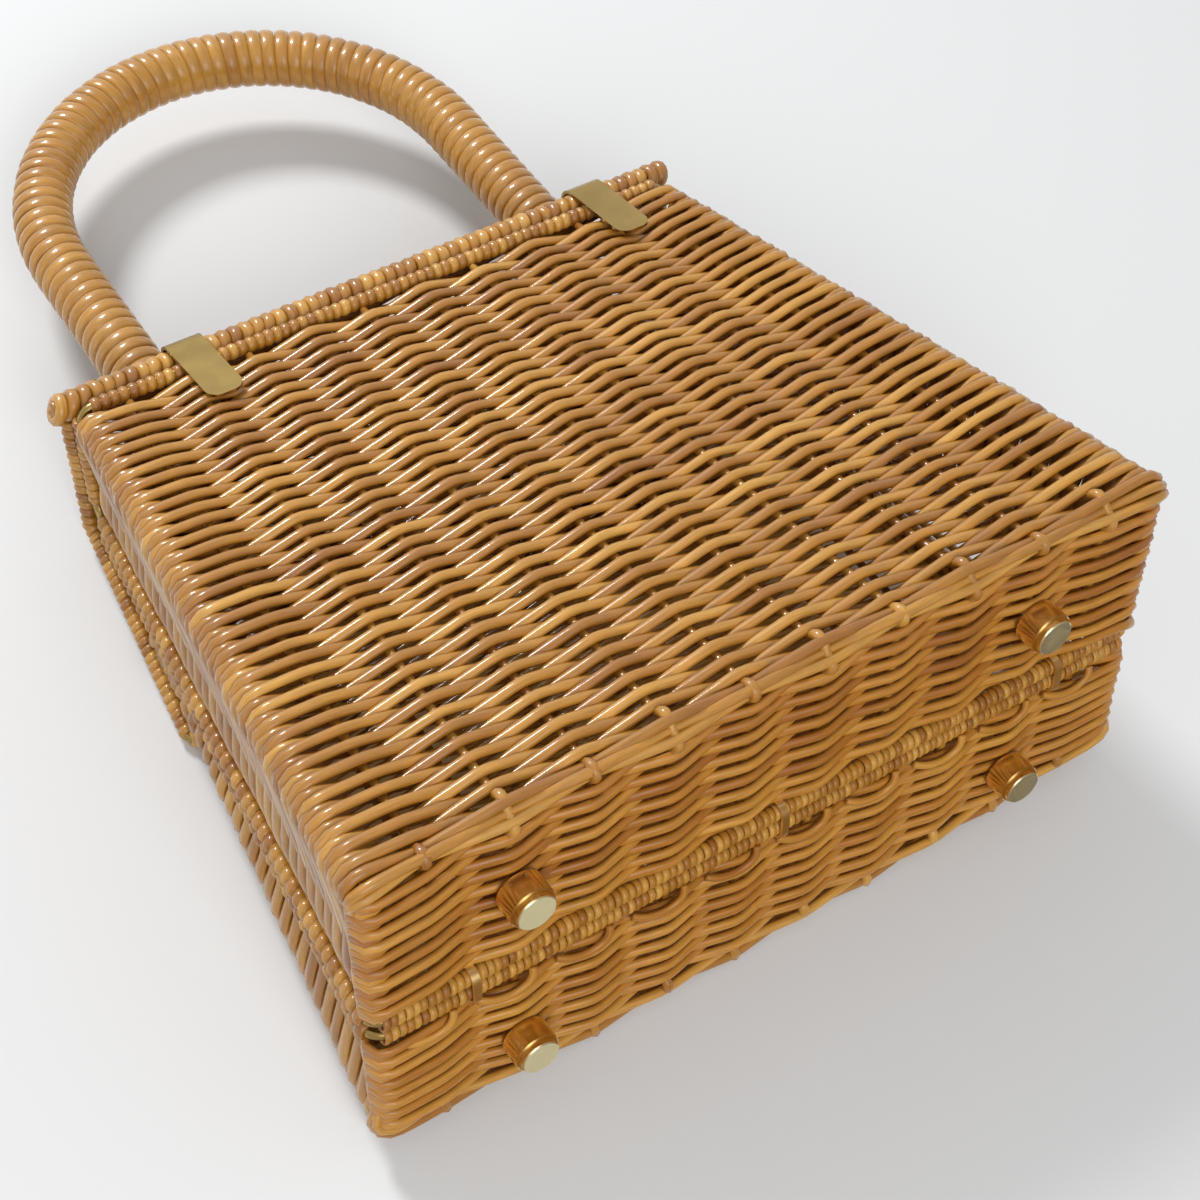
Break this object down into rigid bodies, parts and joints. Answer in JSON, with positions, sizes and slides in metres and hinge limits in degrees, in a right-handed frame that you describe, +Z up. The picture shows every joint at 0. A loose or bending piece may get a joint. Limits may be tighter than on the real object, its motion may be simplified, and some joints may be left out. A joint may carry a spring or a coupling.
{
  "type": "handbag",
  "caption": "Woven cane box handbag that tapers to the top, with a hinged lid and front flap, an arch handle wound with cane, brass hinges and brass feet.",
  "frame": {"origin": "middle of the footprint, at the level the feet stand on", "axes": "+Z up, -Y towards the front with the flap and clasp, +X towards the bag's left-hand side as seen from behind"},
  "size_m": [0.25, 0.1145, 0.3728],
  "materials": {
    "woven_cane": "satin",
    "wound_cane": "gloss",
    "cane_core": "matte",
    "satin_brass": "satin",
    "polished_brass": "polished"
  },
  "bodies": {
    "bag": {"back_wall": "woven_cane", "back_left_wall": "woven_cane", "back_right_wall": "woven_cane", "back_floor": "woven_cane", "back_rim_rod": "satin_brass", "back_rim_winding": "wound_cane", "front_wall": "woven_cane", "front_left_wall": "woven_cane", "front_right_wall": "woven_cane", "front_floor": "woven_cane", "front_rim_rod": "satin_brass", "front_rim_winding": "wound_cane", "hinge_ring_1": "satin_brass", "hinge_ring_2": "satin_brass", "hinge_ring_3": "satin_brass", "foot_back_left": "polished_brass", "foot_back_right": "polished_brass", "foot_front_left": "polished_brass", "foot_front_right": "polished_brass", "foot_washer_back_left": "satin_brass", "foot_washer_back_right": "satin_brass", "foot_washer_front_left": "satin_brass", "foot_washer_front_right": "satin_brass", "strap_left": "satin_brass", "strap_right": "satin_brass", "strap_plate_left": "satin_brass", "strap_plate_right": "satin_brass", "clasp_stud": "satin_brass"},
    "lid": {"lid_top": "woven_cane", "flap": "woven_cane", "lid_rod": "satin_brass", "lid_roll": "wound_cane", "lid_edge_winding": "wound_cane", "handle_core": "cane_core", "handle_winding": "wound_cane", "handle_washer_left": "satin_brass", "handle_washer_right": "satin_brass", "clasp_tongue": "satin_brass", "clasp_rivet_1": "satin_brass", "clasp_rivet_2": "satin_brass"}
  },
  "joints": [
    {"name": "lid_hinge", "type": "hinge", "parent": "bag", "child": "lid", "pos_m": [0, 0.03606, 0.2195], "axis": [-1, 0, 0], "range_deg": [0, 165]}
  ]
}
